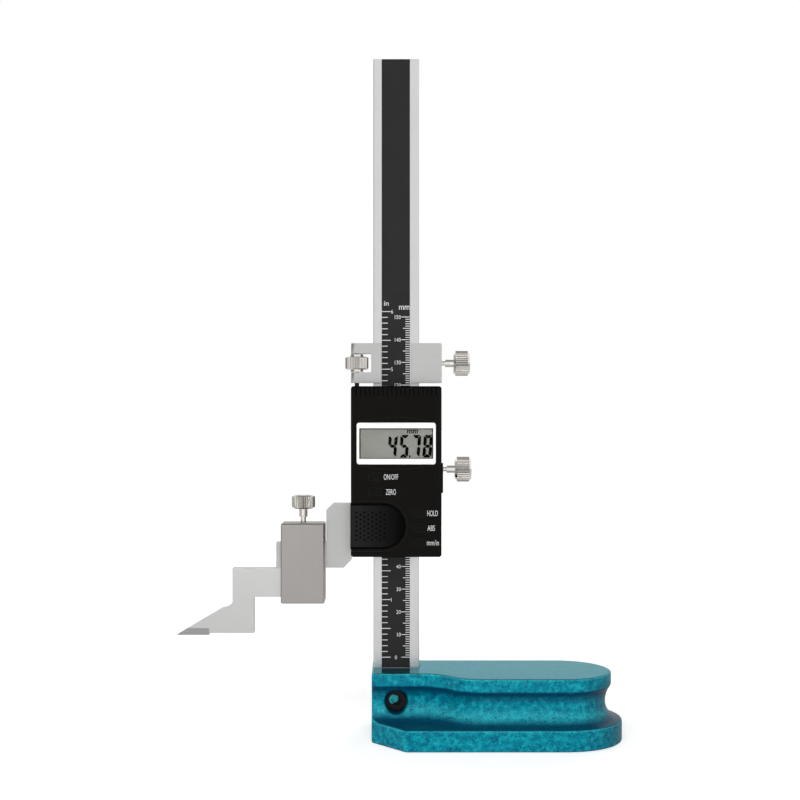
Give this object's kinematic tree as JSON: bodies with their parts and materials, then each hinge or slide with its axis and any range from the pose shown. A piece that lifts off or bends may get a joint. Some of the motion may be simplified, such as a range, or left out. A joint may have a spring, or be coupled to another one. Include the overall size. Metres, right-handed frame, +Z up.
{
  "type": "digital height gauge",
  "caption": "Digital height gauge: cast base with finger groove, graduated beam, display slider, fine adjustment carriage and carbide scriber in a box clamp.",
  "frame": {"origin": "on the resting plane, straight below the axis of the beam", "axes": "+Z up along the beam, +X to the rounded end of the base, +Y away from the reader"},
  "size_m": [0.1953, 0.0529, 0.2979],
  "materials": {
    "teal_hammertone": "hammertone enamel",
    "black_oxide": "black oxide steel",
    "beam_steel": "ground stainless, matt chromed",
    "frame_steel": "ground stainless",
    "scriber_steel": "ground tool steel",
    "strip_black": "matt black film, white graduations",
    "bronze": "rolled phosphor bronze",
    "housing_black": "fine grained black moulding",
    "circuit_green": "solder masked board",
    "bezel_white": "smooth white moulding",
    "window_clear": "clear polished",
    "lcd_grey": "grey display glass",
    "rubber_grey": "matt rubber",
    "cell_steel": "nickel plated",
    "knurled_nickel": "nickel plated, knurled",
    "clamp_steel": "ground steel, brownish grey",
    "carbide": "ground carbide"
  },
  "bodies": {
    "base": {"base_casting": "teal_hammertone", "base_clamp_screw": "black_oxide", "beam": "beam_steel", "scale_strip": "strip_black"},
    "slider": {"slider_frame": "frame_steel", "slider_back_plate": "frame_steel", "slider_gib": "bronze", "gib_screws": "black_oxide", "side_strip": "housing_black", "sensor_board": "circuit_green", "housing_shell": "housing_black", "lcd_bezel": "bezel_white", "lcd_window": "window_clear", "lcd_panel": "lcd_grey", "connector_strip": "rubber_grey", "key_mat": "rubber_grey", "coin_cell": "cell_steel", "contact_minus": "bronze", "contact_plus": "bronze", "fine_screw": "black_oxide"},
    "battery_cover": {"battery_cover": "housing_black"},
    "button_on_off": {"button_on_off": "housing_black"},
    "button_zero": {"button_zero": "housing_black"},
    "button_hold": {"button_hold": "housing_black"},
    "button_abs": {"button_abs": "housing_black"},
    "button_unit": {"button_unit": "housing_black"},
    "slider_lock_screw": {"slider_lock_screw": "knurled_nickel"},
    "carriage": {"fine_carriage": "frame_steel", "carriage_gib": "bronze"},
    "fine_wheel": {"fine_wheel": "knurled_nickel"},
    "carriage_lock_screw": {"carriage_lock_screw": "knurled_nickel"},
    "clamp": {"scriber_clamp": "clamp_steel", "clamp_pad": "clamp_steel"},
    "clamp_screw": {"clamp_screw": "knurled_nickel"},
    "scriber": {"scriber": "scriber_steel", "carbide_tip": "carbide"}
  },
  "joints": [
    {"name": "slider_travel", "type": "slide", "parent": "base", "child": "slider", "axis": [0, 0, 1], "range_m": [-0.044, 0.1059]},
    {"name": "fine_wheel_turn", "type": "hinge", "parent": "carriage", "child": "fine_wheel", "pos_m": [-0.01745, 0, 0.1639], "axis": [0, 0, 1], "range_deg": [-1100, 4520]},
    {"name": "fine_travel", "type": "slide", "parent": "slider", "child": "carriage", "axis": [0, 0, 1], "range_m": [-0.0012, 0.005]},
    {"name": "slider_lock_turn", "type": "hinge", "parent": "slider", "child": "slider_lock_screw", "pos_m": [0.0257, 0, 0.117], "axis": [1, 0, 0], "range_deg": [0, 360]},
    {"name": "carriage_lock_turn", "type": "hinge", "parent": "carriage", "child": "carriage_lock_screw", "pos_m": [0.0253, 0, 0.1638], "axis": [1, 0, 0], "range_deg": [0, 360]},
    {"name": "clamp_slide", "type": "slide", "parent": "slider", "child": "clamp", "axis": [-1, 0, 0], "range_m": [0, 0.022]},
    {"name": "clamp_screw_turn", "type": "hinge", "parent": "clamp", "child": "clamp_screw", "pos_m": [-0.0411, 0, 0.0996], "axis": [0, 0, 1], "range_deg": [0, 360]},
    {"name": "scriber_slide", "type": "slide", "parent": "clamp", "child": "scriber", "axis": [-1, 0, 0], "range_m": [0, 0.019]},
    {"name": "battery_cover_slide", "type": "slide", "parent": "slider", "child": "battery_cover", "axis": [-1, 0, 0], "range_m": [0, 0.026]},
    {"name": "button_on_off_press", "type": "slide", "parent": "slider", "child": "button_on_off", "axis": [0, 1, 0], "range_m": [0, 0.0004], "stiffness_N_per_m": 2000, "springref_m": -0.0002},
    {"name": "button_zero_press", "type": "slide", "parent": "slider", "child": "button_zero", "axis": [0, 1, 0], "range_m": [0, 0.0004], "stiffness_N_per_m": 2000, "springref_m": -0.0002},
    {"name": "button_hold_press", "type": "slide", "parent": "slider", "child": "button_hold", "axis": [0, 1, 0], "range_m": [0, 0.0004], "stiffness_N_per_m": 2000, "springref_m": -0.0002},
    {"name": "button_abs_press", "type": "slide", "parent": "slider", "child": "button_abs", "axis": [0, 1, 0], "range_m": [0, 0.0004], "stiffness_N_per_m": 2000, "springref_m": -0.0002},
    {"name": "button_unit_press", "type": "slide", "parent": "slider", "child": "button_unit", "axis": [0, 1, 0], "range_m": [0, 0.0004], "stiffness_N_per_m": 2000, "springref_m": -0.0002}
  ],
  "couplings": [
    {"joint": "fine_wheel_turn", "follows": "fine_travel", "rad_per_m": 15708}
  ]
}
